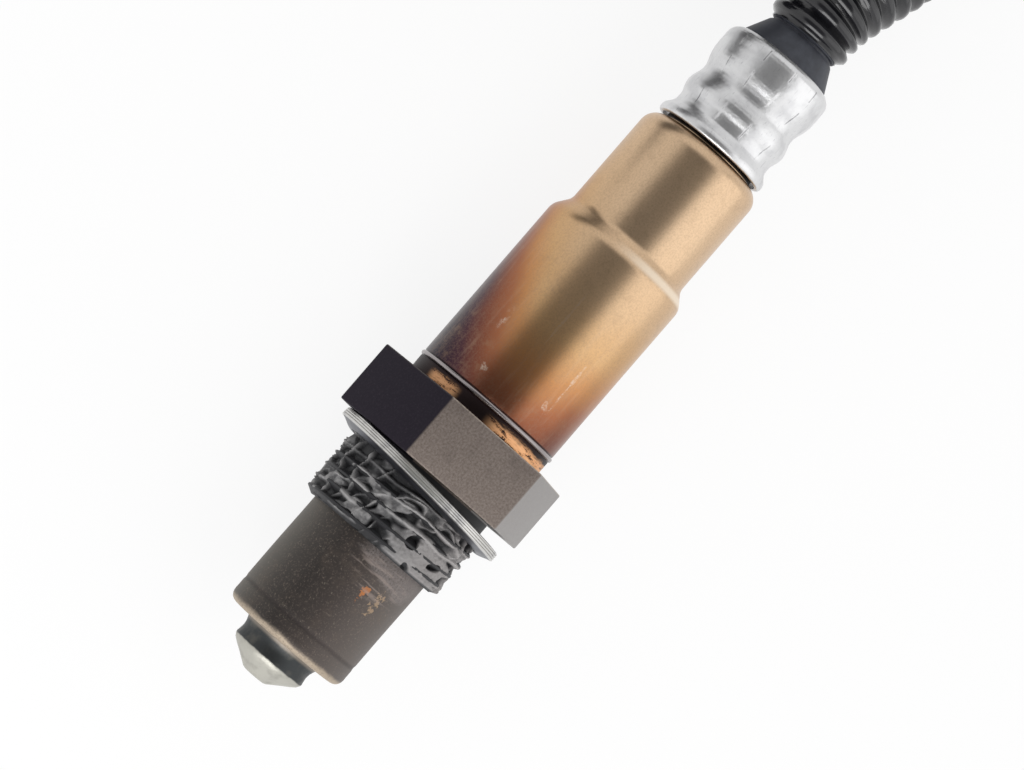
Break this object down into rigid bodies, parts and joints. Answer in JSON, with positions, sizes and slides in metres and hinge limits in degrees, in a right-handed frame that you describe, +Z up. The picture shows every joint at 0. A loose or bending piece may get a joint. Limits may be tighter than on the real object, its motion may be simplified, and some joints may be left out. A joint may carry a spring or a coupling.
{
  "type": "oxygen sensor",
  "caption": "Exhaust oxygen sensor with thread, hex, heat-tinted sleeve, crimped collar and a corrugated cable conduit that ends in a connector.",
  "frame": {"origin": "on the sensor's axis, at the hex end of the full thread", "axes": "+X along the sensor's axis towards the cable, +Z up through the middle of the hex's upper flat, +Y to the side on which the coil lies"},
  "size_m": [0.1907, 0.1255, 0.0223],
  "materials": {
    "housing_steel": "oxidised satin",
    "tube_steel": "sooted and matt",
    "nose_steel": "dull satin",
    "gasket_steel": "bright satin",
    "sleeve_steel": "heat tinted satin",
    "collar_steel": "bright satin",
    "grommet_rubber": "matt",
    "stack_ceramic": "matt ceramic",
    "packing_powder": "pressed powder",
    "contact_metal": "satin",
    "lead_insulation": "smooth",
    "conduit_plastic": "glossy black",
    "connector_plastic": "fine grain black",
    "lock_plastic": "smooth grey",
    "seal_silicone": "matt"
  },
  "bodies": {
    "root": {"housing": "housing_steel", "outer_protection_tube": "tube_steel", "inner_protection_tube": "nose_steel", "sealing_gasket": "gasket_steel", "sensing_element": "stack_ceramic", "lower_ceramic_bush": "stack_ceramic", "powder_packing": "packing_powder", "upper_ceramic_bush": "stack_ceramic", "press_ring": "nose_steel", "protective_sleeve": "sleeve_steel", "crimp_collar": "collar_steel", "grommet": "grommet_rubber", "contact_holder_upper": "stack_ceramic", "contact_holder_lower": "stack_ceramic", "clamp_ring": "nose_steel", "contact_spring_1": "contact_metal", "lead_wire_1": "lead_insulation", "contact_spring_2": "contact_metal", "lead_wire_2": "lead_insulation", "contact_spring_3": "contact_metal", "lead_wire_3": "lead_insulation", "contact_spring_4": "contact_metal", "lead_wire_4": "lead_insulation", "contact_spring_5": "contact_metal", "lead_wire_5": "lead_insulation", "conduit_tube": "conduit_plastic", "conduit_coil": "conduit_plastic", "conduit_tail": "conduit_plastic", "connector_cap": "connector_plastic", "connector_body": "connector_plastic", "connector_wire_seal": "seal_silicone", "connector_lock_plate": "lock_plastic", "terminal_blade_1": "contact_metal", "terminal_blade_2": "contact_metal", "terminal_blade_3": "contact_metal", "terminal_blade_4": "contact_metal", "terminal_blade_5": "contact_metal", "terminal_blade_6": "contact_metal"}
  },
  "joints": []
}
